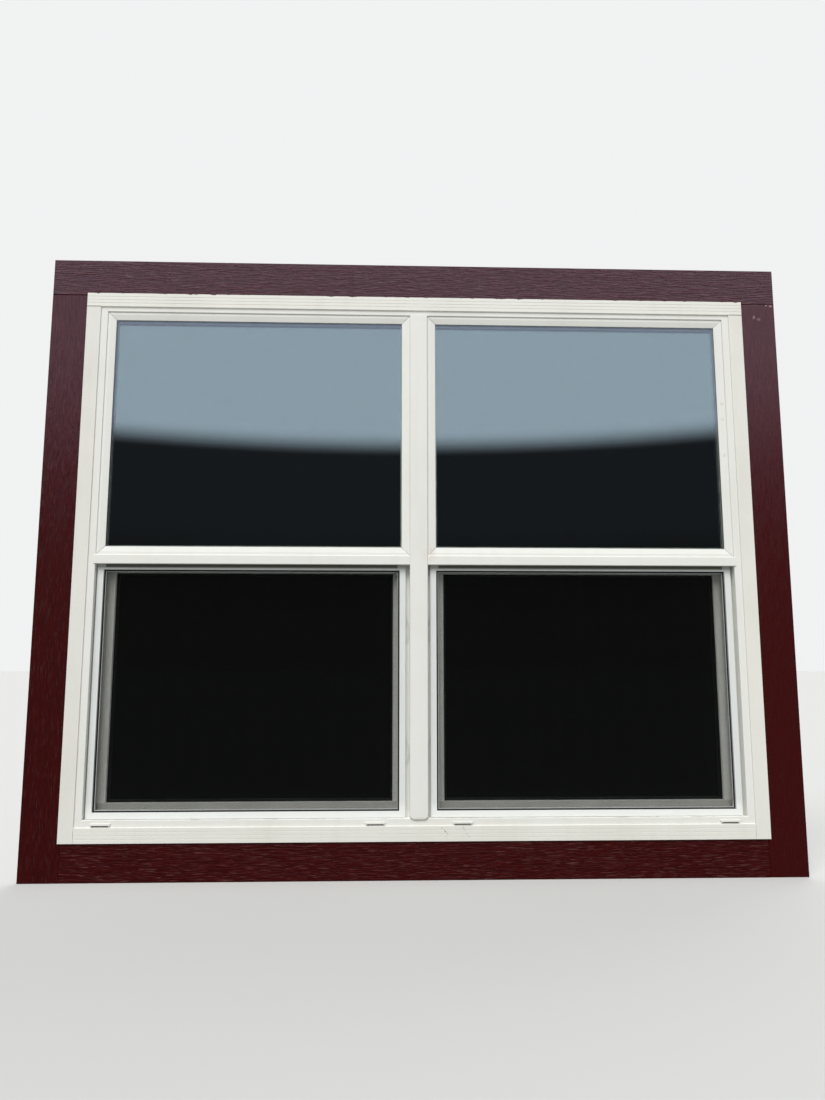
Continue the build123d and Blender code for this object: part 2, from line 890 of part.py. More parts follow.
def sash_seals(side):
    """A bulb under the bottom rail and pile up each stile."""
    centre = side * unit_centre
    bulb = sash_lift_gap - seal_gap
    pile_thick = sash_front_gap - seal_gap
    with BuildPart() as seals:
        with BuildSketch(Plane.YZ.offset(centre - sash_width / 2)):
            with Locations((sash_middle, sash_low - bulb / 2)):
                strip_face = Rectangle(bulb_width, bulb)
            fillet(strip_face.vertices().sort_by(Axis.Y)[:2], bulb / 2)
        extrude(amount=sash_width)
        reach = sash_width / 2 - pile_inset - pile_width / 2
        with Locations((centre, sash_front, (sash_low + sash_high) / 2)):
            with GridLocations(2 * reach, 1, 2, 1):
                alignment = (Align.CENTER, Align.MAX, Align.CENTER)
                Box(pile_width, pile_thick, sash_high - sash_low, align=alignment)
    return seals


def lock_base(side):
    """The base plate with the pin that the lever turns on."""
    centre = side * unit_centre
    pin_top = lever_low + hub_height + lever_gap
    holes = screw_holes(lock_screw_spots(side), (0, 0, -1), lock_base_thick)
    with BuildPart() as base:
        with BuildSketch(Plane.XY.offset(sash_high)):
            with Locations((centre, lock_pivot_y)):
                base_face = Rectangle(lock_length, lock_width)
            chamfer(base_face.vertices(), lock_base_corner)
        extrude(amount=lock_base_thick)
        with BuildSketch(Plane.XY.offset(sash_high + lock_base_thick)):
            with Locations((centre, lock_pivot_y)):
                Circle(lock_pin_radius)
        extrude(amount=pin_top - sash_high - lock_base_thick)
        with BuildSketch(Plane.XY.offset(pin_top)):
            with Locations((centre, lock_pivot_y)):
                Circle(lock_pin_head_radius)
        extrude(amount=lock_pin_head_height)
        add(holes.part, mode=Mode.SUBTRACT)
    return base


def lock_lever(side):
    """Hub, handle and cam in one casting, drawn unlocked with the cam over the sash."""
    centre = side * unit_centre
    cam_middle = lock_pivot_y + cam_reach - cam_tip_radius
    with BuildPart() as lever:
        with BuildSketch(Plane.XY.offset(lever_low)):
            with Locations((centre, lock_pivot_y)):
                Circle(hub_radius)
        extrude(amount=hub_height)
        with BuildSketch(Plane.XY.offset(lever_low)):
            with Locations((centre, lock_pivot_y)):
                Circle(hub_radius)
            with Locations((centre, cam_middle)):
                Circle(cam_tip_radius)
            make_hull()
        extrude(amount=cam_thick)
        with BuildSketch(Plane.XY.offset(lever_low + hub_height - lever_thick)):
            with Locations((centre, lock_pivot_y)):
                Circle(hub_radius)
            with Locations((centre + lever_reach, lock_pivot_y)):
                Circle(lever_tip_radius)
            make_hull()
        extrude(amount=lever_thick)
        with BuildSketch(Plane.XY.offset(lever_low)):
            with Locations((centre, lock_pivot_y)):
                Circle(lock_pin_radius + lock_pin_fit)
        extrude(amount=hub_height, mode=Mode.SUBTRACT)
    return lever


def balance_tubes():
    """Four tubes in the pockets of the jambs and mullion, bored for their head screws."""
    bores = [tube_screw_holes(side, end) for side in sides.values() for end in (-1, 1)]
    with BuildPart() as tubes:
        for side in sides.values():
            for end in (-1, 1):
                x = side * unit_centre + end * balance_offset
                with BuildSketch(Plane.XY.offset(tube_low)):
                    with Locations((x, sash_middle)):
                        RegularPolygon(tube_radius, tube_sides)
                        RegularPolygon(tube_radius - tube_wall, tube_sides, mode=Mode.SUBTRACT)
                extrude(amount=tube_length)
        for bore in bores:
            add(bore.part, mode=Mode.SUBTRACT)
    return tubes


def balance_rods(side):
    """Two flat rods twisted all along, from the brackets up into the tubes."""
    length = tube_low + rod_overlap - shelf_top
    with BuildPart() as rods:
        for end in (-1, 1):
            foot = (side * unit_centre + end * balance_offset, sash_middle, shelf_top)
            with BuildLine(Plane(origin=foot)) as path:
                Line((0, 0, 0), (0, 0, length))
            with BuildLine(Plane(origin=foot), mode=Mode.PRIVATE) as guide:
                Helix(pitch=rod_pitch, height=length, radius=rod_width / 2)
            with BuildSketch(Plane(origin=foot)):
                Rectangle(rod_width, rod_thick)
            sweep(path=path.line, binormal=guide.line.edge())
    return rods


def rod_brackets(side):
    """Bent plates on the ends of the bottom rail, with a shelf under each rod."""
    holes = [bracket_screw_holes(side, end, bracket_thick) for end in (-1, 1)]
    with BuildPart() as brackets:
        for end in (-1, 1):
            edge = side * unit_centre + end * sash_width / 2
            plate_face = edge + end * bracket_thick
            shelf_end = edge + end * bracket_shelf
            with BuildSketch(Plane.XZ.offset(-sash_middle)):
                with BuildLine():
                    Polyline(
                        (edge, bracket_low),
                        (plate_face, bracket_low),
                        (plate_face, shelf_top - bracket_thick),
                        (shelf_end, shelf_top - bracket_thick),
                        (shelf_end, shelf_top),
                        (plate_face, shelf_top),
                        (plate_face, bracket_low + bracket_height),
                        (edge, bracket_low + bracket_height),
                        close=True,
                    )
                make_face()
            extrude(amount=bracket_width / 2, both=True)
        for hole in holes:
            add(hole.part, mode=Mode.SUBTRACT)
    return brackets


upper_spacers = []
for name, side in sides.items():
    centre, left, right = opening_walls(side)
    save(meeting_rail(side), f"{name}_meeting_rail")
    save(keeper(side), f"{name}_keeper")

    # Upper lite
    lite_middle = (centre, (rail_top + opening_top) / 2)
    lite_size = (opening_width - 2 * glass_edge_gap, opening_top - rail_top - 2 * glass_edge_gap)
    save(mitred_beads(upper_bead, left, right, rail_top, opening_top), f"{name}_upper_beads")
    save(panes(lite_middle, lite_size, upper_glass_front), f"{name}_upper_panes")
    upper_spacers.append(spacer(lite_middle, lite_size, upper_glass_front))

    # Half screen
    save(screen_bars(name), f"{name}_screen_bars")
    save(screen_mesh(name), f"{name}_screen_mesh")

    # Lower sash
    top_rail = sash_top_rail(side)
    bottom_rail = sash_bottom_rail(side)
    save(top_rail, f"{name}_sash_top_rail")
    save(bottom_rail, f"{name}_sash_bottom_rail")
    for end_name, end in sides.items():
        stile = sash_stile(side, end, (top_rail, bottom_rail))
        save(stile, f"{name}_sash_{end_name}_stile")
    floor_low = sash_low + sash_bottom_face - rebate
    floor_high = sash_high - sash_top_face + rebate
    floor_half = sash_width / 2 - stile_face + rebate
    sash_beads = mitred_beads(sash_bead, centre - floor_half, centre + floor_half, floor_low, floor_high)
    save(sash_beads, f"{name}_sash_beads")
    glass_middle = (centre, (sash_glass_low + sash_glass_high) / 2)
    glass_size = (sash_width - 2 * (stile_face - glass_bite), sash_glass_high - sash_glass_low)
    save(panes(glass_middle, glass_size, sash_glass_front), f"{name}_sash_panes")
    save(spacer(glass_middle, glass_size, sash_glass_front), f"{name}_sash_spacer")
    save(sash_seals(side), f"{name}_sash_seals")

    # Lock and balance pieces that ride on the sash
    save(lock_base(side), f"{name}_lock_base")
    save(lock_lever(side), f"{name}_lock_lever")
    save(balance_rods(side), f"{name}_balance_rods")
    save(rod_brackets(side), f"{name}_rod_brackets")
    sash_screws = [screws(lock_screw_spots(side), (0, 0, -1), screw_length)]
    for end in (-1, 1):
        sash_screws.append(screws(bracket_screw_spot(side, end), (-end, 0, 0), screw_length))
    save(together(sash_screws), f"{name}_sash_screws")

# Like pieces of both units that stay with the frame
save(together(upper_spacers), "upper_spacers")
save(together([setting_blocks(side) for side in sides.values()]), "setting_blocks")
save(together([rail_seal(side) for side in sides.values()]), "meeting_rail_seals")
save(together([screen_corner_keys(name) for name in sides]), "screen_corner_keys")
save(together([screen_spline(name) for name in sides]), "screen_splines")
save(together([screen_springs(name) for name in sides]), "screen_springs")
keeper_spots = keeper_screw_spots(-1) + keeper_screw_spots(1)
save(screws(keeper_spots, (0, 0, -1), screw_length), "keeper_screws")
save(balance_tubes(), "balance_tubes")
tube_screws = [
    screws(tube_screw_spots(side * unit_centre, end), (end, 0, 0), tube_screw_length)
    for side in sides.values()
    for end in (-1, 1)
]
save(together(tube_screws), "tube_screws")
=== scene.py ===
import bmesh
import bpy
import math
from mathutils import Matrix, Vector


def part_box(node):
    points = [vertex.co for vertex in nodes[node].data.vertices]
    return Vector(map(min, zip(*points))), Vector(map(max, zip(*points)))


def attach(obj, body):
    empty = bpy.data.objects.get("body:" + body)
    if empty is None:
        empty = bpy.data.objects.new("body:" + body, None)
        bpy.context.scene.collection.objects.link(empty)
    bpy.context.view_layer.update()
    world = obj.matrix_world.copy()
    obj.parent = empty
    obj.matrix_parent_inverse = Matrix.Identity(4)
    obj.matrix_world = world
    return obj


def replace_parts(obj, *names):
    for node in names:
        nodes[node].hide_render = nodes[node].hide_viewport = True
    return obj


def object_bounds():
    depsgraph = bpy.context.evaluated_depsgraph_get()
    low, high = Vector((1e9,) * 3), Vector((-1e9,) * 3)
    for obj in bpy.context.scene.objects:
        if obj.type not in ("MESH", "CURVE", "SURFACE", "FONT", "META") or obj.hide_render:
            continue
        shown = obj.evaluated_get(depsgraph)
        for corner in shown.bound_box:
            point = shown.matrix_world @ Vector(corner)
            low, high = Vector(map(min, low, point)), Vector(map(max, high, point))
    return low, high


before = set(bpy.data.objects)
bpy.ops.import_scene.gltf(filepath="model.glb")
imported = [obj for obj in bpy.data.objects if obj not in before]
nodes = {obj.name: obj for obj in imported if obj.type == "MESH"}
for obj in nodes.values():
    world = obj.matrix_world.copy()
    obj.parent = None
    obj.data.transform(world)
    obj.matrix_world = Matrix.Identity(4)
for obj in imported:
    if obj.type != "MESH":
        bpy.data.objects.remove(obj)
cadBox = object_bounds()
sides = ("left", "right")
print("frame loaded:", len(nodes), "nodes")


# Shader maths: a Wire is one node's output, and expressions on wires add Math nodes
class Wire:
    def __init__(self, sheet, socket):
        self.sheet = sheet
        self.socket = socket

    def __add__(self, other):
        return self.sheet.maths("ADD", self, other)

    def __radd__(self, other):
        return self.sheet.maths("ADD", other, self)

    def __sub__(self, other):
        return self.sheet.maths("SUBTRACT", self, other)

    def __rsub__(self, other):
        return self.sheet.maths("SUBTRACT", other, self)

    def __mul__(self, other):
        return self.sheet.maths("MULTIPLY", self, other)

    def __rmul__(self, other):
        return self.sheet.maths("MULTIPLY", other, self)

    def __gt__(self, other):
        return self.sheet.maths("GREATER_THAN", self, other)

    def __lt__(self, other):
        return self.sheet.maths("LESS_THAN", self, other)

    def __abs__(self):
        return self.sheet.maths("ABSOLUTE", self)


# One node tree, of a material or of the world
class Sheet:
    def __init__(self, owner):
        owner.use_nodes = True
        self.tree = owner.node_tree
        self.tree.nodes.clear()

    # Any node: its type, its settings, then the values or wires of its sockets
    def node(self, kind, settings=None, inputs=None, output=0):
        made = self.tree.nodes.new(kind)
        for name, value in (settings or {}).items():
            setattr(made, name, value)
        for name, value in (inputs or {}).items():
            if isinstance(value, Wire):
                self.tree.links.new(value.socket, made.inputs[name])
            else:
                made.inputs[name].default_value = value
        return Wire(self, made.outputs[output]) if made.outputs else made

    def maths(self, operation, first, second=0.0):
        return self.node("ShaderNodeMath", {"operation": operation}, {0: first, 1: second})

    def least(self, first, second):
        return self.maths("MINIMUM", first, second)

    def most(self, first, second):
        return self.maths("MAXIMUM", first, second)

    def length(self, offX, offZ):
        return self.maths("SQRT", offX * offX + offZ * offZ)

    # 0 below low, 1 above high, and smooth between
    def rise(self, value, low, high):
        limits = {"Value": value, "From Min": low, "From Max": high}
        return self.node("ShaderNodeMapRange", {"interpolation_type": "SMOOTHSTEP"}, limits)

    # 1 over the core, which is a share of the reach, and 0 from the reach on
    def near(self, distance, reach, core=0.4):
        return 1 - self.rise(distance, reach * core, reach)

    def place(self):
        return self.node("ShaderNodeTexCoord", output="Object")

    def axes(self, place):
        split = self.node("ShaderNodeSeparateXYZ", inputs={0: place})
        return [Wire(self, socket) for socket in split.socket.node.outputs]

    def vectors(self, operation, first, second):
        return self.node("ShaderNodeVectorMath", {"operation": operation}, {0: first, 1: second})

    def noise(self, place, scale=1.0, detail=2.0, rough=0.5, twist=0.0, stretch=None):
        if stretch:
            place = self.vectors("MULTIPLY", place, stretch)
        inputs = {"Vector": place, "Scale": scale, "Detail": detail, "Roughness": rough, "Distortion": twist}
        return self.node("ShaderNodeTexNoise", inputs=inputs)

    # Noise cut into patches, between its low and high values
    def patches(self, place, low, high, **grain):
        return self.rise(self.noise(place, **grain), low, high)

    # Sockets 6 and 7 are the Mix node's two colours, and output 2 is its colour
    def mixed(self, share, first, second):
        return self.node("ShaderNodeMix", {"data_type": "RGBA"}, {0: share, 6: first, 7: second}, 2)

    def bump(self, height, depth):
        return self.node("ShaderNodeBump", inputs={"Height": height, "Distance": depth})

    def principled(self, inputs):
        return self.node("ShaderNodeBsdfPrincipled", inputs=inputs)

    def finish(self, shader, kind="ShaderNodeOutputMaterial"):
        self.node(kind, inputs={"Surface": shader})


def newFinish(name):
    material = bpy.data.materials.new(name)
    return material, Sheet(material)


# White finishes: vinyl, painted strips, enamel
stripPaint = {"roughness": 0.38, "roughnessSpread": 0.16, "speckScale": 600.0, "relief": 0.00007}
whiteLooks = {
    "vinyl": {
        "colour": (0.84, 0.845, 0.80, 1),
        "dull": (0.74, 0.735, 0.675, 1),
        "roughness": 0.30,
        "roughnessSpread": 0.14,
        "speckScale": 900.0,
        "relief": 0.00004,
    },
    # Lighter and darker copies of one strip paint stand in for light and shade: painted light on the head
    # strip, painted shade on the left strip
    "strip": {"colour": (0.82, 0.82, 0.76, 1), "dull": (0.71, 0.705, 0.635, 1), **stripPaint},
    "litHeadStrip": {"colour": (0.86, 0.86, 0.80, 1), "dull": (0.745, 0.74, 0.67, 1), **stripPaint},
    "shadedLeftStrip": {"colour": (0.80, 0.80, 0.75, 1), "dull": (0.69, 0.685, 0.625, 1), **stripPaint},
    "screenEnamel": {
        "colour": (0.775, 0.795, 0.785, 1),
        "dull": (0.66, 0.675, 0.66, 1),
        "roughness": 0.36,
        "roughnessSpread": 0.12,
        "speckScale": 1100.0,
        "relief": 0.00003,
    },
    "castEnamel": {
        "colour": (0.78, 0.785, 0.77, 1),
        "dull": (0.68, 0.68, 0.65, 1),
        "roughness": 0.28,
        "roughnessSpread": 0.10,
        "speckScale": 1500.0,
        "relief": 0.00005,
    },
}
# What all of them share: wear, specks and gloss
whiteWear = {
    "clouds": {"scale": 7.0, "detail": 4.0, "rough": 0.6, "low": 0.42, "high": 0.72},
    "streaks": {"stretch": (26.0, 26.0, 2.2), "detail": 5.0, "rough": 0.65, "low": 0.45, "high": 0.75},
    "wornShare": 0.55,
    "specks": {"detail": 1.0, "low": 0.70, "high": 0.76},
    "speckShare": 0.20,
    "speckColour": (0.23, 0.215, 0.17, 1),
    "markRoughness": 0.2,
    "ior": 1.46,
}


def whiteFinish(name, look, marks=()):
    material, sheet = newFinish(name)
    wear = whiteWear
    place = sheet.place()
    worn = (sheet.patches(place, **wear["clouds"]) + sheet.patches(place, **wear["streaks"])) * 0.5
    specks = sheet.patches(place, scale=look["speckScale"], **wear["specks"])
    colour = sheet.mixed(worn * wear["wornShare"], look["colour"], look["dull"])
    colour = sheet.mixed(specks * wear["speckShare"], colour, wear["speckColour"])
    roughness = look["roughness"] + worn * look["roughnessSpread"]
    for mark in marks:
        share, tint = mark(sheet, place)
        colour = sheet.mixed(share, colour, tint)
        roughness = roughness + share * wear["markRoughness"]
    shader = sheet.principled({
        "Base Color": colour,
        "Roughness": roughness,
        "Normal": sheet.bump(sheet.noise(place, look["speckScale"]), look["relief"]),
        "IOR": wear["ior"],
    })
    sheet.finish(shader)
    return material


# Marks: each gives its share of the surface and its colour, and their spots are in x and z
scratchLook = {"scale": 260.0, "detail": 3.0, "low": 0.34, "high": 0.60}


def scratch(start, end, width, tint, depth):
    runX = end[0] - start[0]
    runZ = end[1] - start[1]
    square = runX ** 2 + runZ ** 2

    def mark(sheet, place):
        x, y, z = sheet.axes(place)
        fromX = x - start[0]
        fromZ = z - start[1]
        along = fromX * (runX / square) + fromZ * (runZ / square)
        along = sheet.least(sheet.most(along, 0.0), 1.0)
        away = sheet.length(fromX - along * runX, fromZ - along * runZ)
        return sheet.near(away, width) * sheet.patches(place, **scratchLook) * depth, tint
    return mark


mitreLook = {
    "width": 0.0007,
    "tint": (0.16, 0.15, 0.12, 1),
    "depth": 0.75,
    "breaks": {"scale": 260.0, "detail": 3.0, "low": 0.30, "high": 0.62},
}


# The dark line of a mitre, on the diagonals of a ring of beads
def mitres(name):
    low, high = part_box(name)
    middle = (low + high) / 2
    half = (high - low) / 2

    def mark(sheet, place):
        x, y, z = sheet.axes(place)
        fromSide = half.x - abs(x - middle.x)
        fromEnd = half.z - abs(z - middle.z)
        line = sheet.near(abs(fromSide - fromEnd), mitreLook["width"])
        return line * sheet.patches(place, **mitreLook["breaks"]) * mitreLook["depth"], mitreLook["tint"]
    return mark


sillBandLook = {
    "level": 0.0425,
    "reach": 0.0025,
    "tint": (0.20, 0.18, 0.13, 1),
    "depth": 0.5,
    "patches": {"stretch": (30.0, 60.0, 60.0), "detail": 5.0, "rough": 0.7, "low": 0.42, "high": 0.72},
}


# A patchy dark band along the sill's face just under its nose, below the screens and the mullion cap
def sillDarkBand(sheet, place):
    x, y, z = sheet.axes(place)
    line = sheet.near(abs(z - sillBandLook["level"]), sillBandLook["reach"], core=0.0)
    return line * sheet.patches(place, **sillBandLook["patches"]) * sillBandLook["depth"], sillBandLook["tint"]


smudgeLook = {"outdoors": -0.030, "core": 0.2, "detail": 3.0, "rough": 0.6, "low": 0.38, "high": 0.60}


# A rubbed or dusty spot, on outdoor faces alone
def smudge(centre, radius, tint, depth, scale=300.0):
    look = smudgeLook

    def mark(sheet, place):
        x, y, z = sheet.axes(place)
        spot = sheet.near(sheet.length(x - centre[0], z - centre[1]), radius, look["core"])
        grain = sheet.noise(place, scale, look["detail"], look["rough"])
        rubbed = sheet.rise(grain, look["low"], look["high"])
        return spot * rubbed * (y < look["outdoors"]) * depth, tint
    return mark


jointLook = {"width": 0.0017, "core": 0.3, "inset": 0.001, "tint": (0.20, 0.19, 0.15, 1), "depth": 0.85}


# The joint between the head strip and the upright ones
def stripJoint(sheet, place):
    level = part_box("trim_head")[0].z
    reach = abs(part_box("trim_left")[1].x) + jointLook["inset"]
    x, y, z = sheet.axes(place)
    line = sheet.near(abs(z - level), jointLook["width"], jointLook["core"])
    return line * (abs(x) > reach) * jointLook["depth"], jointLook["tint"]


paintEdgeLook = {
    "creep": 0.0030,
    "least": 0.0004,
    "tint": (0.052, 0.006, 0.005, 1),
    "wander": {"stretch": (34.0, 1.0, 1.0), "detail": 4.0, "rough": 0.65, "low": 0.52, "high": 0.76},
}


# Board paint that wanders over the top edge of the head strip
def paintEdge(sheet, place):
    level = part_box("trim_head")[1].z
    x, y, z = sheet.axes(place)
    creep = sheet.patches(place, **paintEdgeLook["wander"]) * paintEdgeLook["creep"]
    return (z + creep) > (level - paintEdgeLook["least"]), paintEdgeLook["tint"]


noseShadowLook = {"low": 0.6055, "high": 0.6110, "tint": (0.050, 0.050, 0.024, 1)}


# Painted shadow of the meeting rail's nose, on what sits under it: darkest at the top, fading out downward
def paintedNoseShadow(depth):
    def mark(sheet, place):
        x, y, z = sheet.axes(place)
        return sheet.rise(z, noseShadowLook["low"], noseShadowLook["high"]) * depth, noseShadowLook["tint"]
    return mark


lighterFootLook = {"low": 0.056, "high": 0.082, "tint": (0.90, 0.915, 0.895, 1), "depth": 0.85}


# The foot of the screens is lighter than the rest, below a level
def lighterFoot(sheet, place):
    x, y, z = sheet.axes(place)
    return (1 - sheet.rise(z, lighterFootLook["low"], lighterFootLook["high"])) * lighterFootLook["depth"], lighterFootLook["tint"]


behindScreenLook = {
    "face": -0.0125,
    "tint": (0.40, 0.40, 0.375, 1),
    "depth": 0.62,
    "least": 0.75,
    "spread": 0.5,
    "scale": 14.0,
    "detail": 4.0,
}


# Darker patches on the outdoor faces of a sash, behind its screen
def behindScreenDarkening(sheet, place):
    x, y, z = sheet.axes(place)
    grain = sheet.noise(place, behindScreenLook["scale"], behindScreenLook["detail"])
    patchy = behindScreenLook["least"] + grain * behindScreenLook["spread"]
    return (y < behindScreenLook["face"]) * patchy * behindScreenLook["depth"], behindScreenLook["tint"]


weepShadeLook = {"face": 0.0005, "height": 0.0020, "tint": (0.19, 0.185, 0.155, 1)}


# Painted shade in the slot along the foot of each weep cover
def weepSlotShade(sheet, place):
    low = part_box("weep_covers")[0]
    x, y, z = sheet.axes(place)
    return (y > low.y + weepShadeLook["face"]) * (z < low.z + weepShadeLook["height"]), weepShadeLook["tint"]


# Dark red boards with embossed grain, and painted glints: short light streaks of sheen on its ridges,
# painted into the base colour
boardLook = {
    "paint": (0.056, 0.0046, 0.0040, 1),
    "deepPaint": (0.031, 0.0028, 0.0026, 1),
    "plainShare": 0.8,
    "roughness": 0.17,
    "roughnessSpread": 0.11,
    "glossTint": (1.0, 0.84, 1.0, 1),
    "ior": 1.5,
    "relief": 0.0007,
    "across": 330.0,
    "along": 24.0,
    "through": 60.0,
    "wander": {"scale": 9.0, "detail": 2.0},
    "sway": 0.012,
    "ridges": {"detail": 3.0, "rough": 0.55, "twist": 0.35, "low": 0.36, "high": 0.68},
    "fibres": {"detail": 3.0, "rough": 0.6},
    "fibreFineness": 2.6,
    "fibreShare": 0.3,
    "glintFineness": 1.5,
    "glintSpan": 0.13,
}
# Colours of the painted glints
greyGlint = (0.135, 0.060, 0.062, 1)
brownGlint = (0.116, 0.044, 0.040, 1)
# For each board, streaks is the share of the painted glints and ridge their colour
boardParts = {
    "casing_head": {
        "lengthwise": "x",
        "grain": 1.0,
        "streaks": 0.55,
        "rarity": 0.57,
        "ridge": greyGlint,
        "gloss": 1.0,
    },
    "casing_bottom": {
        "lengthwise": "x",
        "grain": 0.7,
        "streaks": 0.66,
        "rarity": 0.57,
        "ridge": brownGlint,
        "gloss": 0.42,
    },
    "casing_left": {
        "lengthwise": "z",
        "grain": 0.75,
        "streaks": 0.22,
        "rarity": 0.57,
        "ridge": greyGlint,
        "gloss": 0.64,
    },
    "casing_right": {
        "lengthwise": "z",
        "grain": 0.3,
        "streaks": 0.05,
        "rarity": 0.57,
        "ridge": greyGlint,
        "gloss": 0.75,
    },
}


def boardFinish(name, lengthwise, grain, streaks, rarity, ridge, gloss, marks=()):
    material, sheet = newFinish(name + "Paint")
    look = boardLook
    place = sheet.place()
    across, along, through = look["across"], look["along"], look["through"]
    stretch = {"x": (along, through, across), "z": (across, through, along)}[lengthwise]
    fibreStretch = tuple(look["fibreFineness"] * part for part in stretch)
    glintStretch = tuple(look["glintFineness"] * part for part in stretch)
    push = {"x": (0.0, 0.0, 1.0), "z": (1.0, 0.0, 0.0)}[lengthwise]
    wander = (sheet.noise(place, **look["wander"]) - 0.5) * look["sway"]
    sway = sheet.node("ShaderNodeVectorMath", {"operation": "SCALE"}, {0: push, "Scale": wander})
    swayed = sheet.vectors("ADD", place, sway)
    ridges = sheet.patches(swayed, stretch=stretch, **look["ridges"])
    fibres = sheet.noise(swayed, stretch=fibreStretch, **look["fibres"])
    paintedGlints = sheet.patches(swayed, rarity, rarity + look["glintSpan"], stretch=glintStretch)
    shade = ridges * grain + (1 - grain) * look["plainShare"]
    colour = sheet.mixed(shade, look["deepPaint"], look["paint"])
    # Painted glints: light streaks of sheen mixed into the base colour
    colour = sheet.mixed(paintedGlints * streaks, colour, ridge)
    for mark in marks:
        share, tint = mark(sheet, place)
        colour = sheet.mixed(share, colour, tint)
    height = ridges * (1 - look["fibreShare"]) + fibres * look["fibreShare"]
    shader = sheet.principled({
        "Base Color": colour,
        "Roughness": look["roughness"] + (1 - ridges) * look["roughnessSpread"],
        "Normal": sheet.bump(height, look["relief"] * grain),
        "IOR": look["ior"],
        "Specular IOR Level": gloss,
        "Specular Tint": look["glossTint"],
    })
    sheet.finish(shader)
    return material


# Glass: a coated outdoor pane that mirrors and lets light through, and an indoor pane painted near-black, as
# painted shade for the unlit room behind it
glassLook = {
    "film": (0.65, 0.83, 0.89, 1),
    "filmShare": 0.24,
    "filmRoughness": 0.015,
    "wave": 0.00006,
    "waveScale": 3.0,
    "shaded": (0.43, 0.50, 0.60, 1),
    "shadedTop": 0.0125,
    "shadedSide": 0.0065,
    "shadeBlur": 0.0012,
    "beadWidth": 0.0195,
    # Painted shade of the unlit room, on the indoor pane's two sides
    "dark": (0.0030, 0.0030, 0.0026, 1),
    "room": (0.020, 0.024, 0.024, 1),
    "roughness": 0.03,
    "dust": {"scale": 60.0, "detail": 5.0, "rough": 0.7, "low": 0.5, "high": 0.8},
    "dustRoughness": 0.05,
    "ior": 1.5,
    "faceReach": 0.0002,
}


# Painted shade on the film: the spacer and the shadow and reflection of the head and beads darken the glass
# under the head and at the outer edge of this daylight opening
def coatedGlass(name, top=None, outer=None):
    material, sheet = newFinish(name)
    look = glassLook
    place = sheet.place()
    film = look["film"]
    if top:
        x, y, z = sheet.axes(place)
        shadeTop = top - look["shadedTop"]
        shadeSide = outer - look["shadedSide"]
        underHead = sheet.rise(z, shadeTop - look["shadeBlur"], shadeTop)
        atEdge = sheet.rise(abs(x), shadeSide - look["shadeBlur"], shadeSide)
        film = sheet.mixed(sheet.most(underHead, atEdge), film, look["shaded"])
    wave = sheet.noise(place, look["waveScale"], detail=1.0)
    shader = sheet.principled({
        "Base Color": film,
        "Metallic": 1.0,
        "Roughness": look["filmRoughness"],
        "Alpha": look["filmShare"],
        "Normal": sheet.bump(wave, look["wave"]),
    })
    sheet.finish(shader)
    return material


# An opaque dark pane: painted shade in place of the unlit room seen through the glass
def darkGlass(name, tint):
    material, sheet = newFinish(name)
    dust = sheet.patches(sheet.place(), **glassLook["dust"])
    roughness = glassLook["roughness"] + dust * glassLook["dustRoughness"]
    sheet.finish(sheet.principled({"Base Color": tint, "Roughness": roughness, "IOR": glassLook["ior"]}))
    return material


# Metals, rubber and plastics of the small pieces
plainLooks = {
    "spacer": {
        "colour": (0.40, 0.45, 0.41, 1),
        "metallic": 0.3,
        "roughness": 0.48,
        "scale": 400.0,
        "relief": 0.00003,
    },
    "sashSpacer": {
        "colour": (0.075, 0.083, 0.078, 1),
        "metallic": 0.3,
        "roughness": 0.5,
        "scale": 400.0,
        "relief": 0.00003,
    },
    "spring": {
        "colour": (0.78, 0.785, 0.76, 1),
        "metallic": 0.3,
        "roughness": 0.42,
        "scale": 900.0,
        "relief": 0.00002,
    },
    "plated": {
        "colour": (0.60, 0.60, 0.57, 1),
        "metallic": 1.0,
        "roughness": 0.33,
        "scale": 1300.0,
        "relief": 0.00002,
    },
    "mesh": {
        "colour": (0.0075, 0.0075, 0.0068, 1),
        "specular": 0.08,
        "roughness": 0.55,
        "scale": 2000.0,
        "relief": 0.00001,
    },
    "spline": {"colour": (0.012, 0.012, 0.012, 1), "roughness": 0.5, "scale": 700.0, "relief": 0.0001},
    "pile": {"colour": (0.22, 0.225, 0.23, 1), "roughness": 0.95, "scale": 2600.0, "relief": 0.0005},
    "block": {"colour": (0.022, 0.022, 0.022, 1), "roughness": 0.7, "scale": 500.0, "relief": 0.00008},
    "tube": {"colour": (0.74, 0.745, 0.74, 1), "roughness": 0.35, "scale": 500.0, "relief": 0.00004},
}
plainWear = {"deepShare": 0.72, "cloudSize": 12, "low": 0.35, "high": 0.65, "roughnessSpread": 0.2}


def plainFinish(name):
    look = plainLooks[name]
    wear = plainWear
    material, sheet = newFinish(name + "Finish")
    place = sheet.place()
    grain = sheet.noise(place, look["scale"], detail=3.0)
    cloudy = sheet.noise(place, look["scale"] / wear["cloudSize"], detail=3.0)
    deep = tuple(wear["deepShare"] * part for part in look["colour"][:3]) + (1,)
    shader = sheet.principled({
        "Base Color": sheet.mixed(sheet.rise(cloudy, wear["low"], wear["high"]), deep, look["colour"]),
        "Metallic": look.get("metallic", 0.0),
        "Roughness": look["roughness"] + (cloudy - 0.5) * wear["roughnessSpread"],
        "Specular IOR Level": look.get("specular", 0.5),
        "Normal": sheet.bump(grain, look["relief"]),
    })
    sheet.finish(shader)
    return material


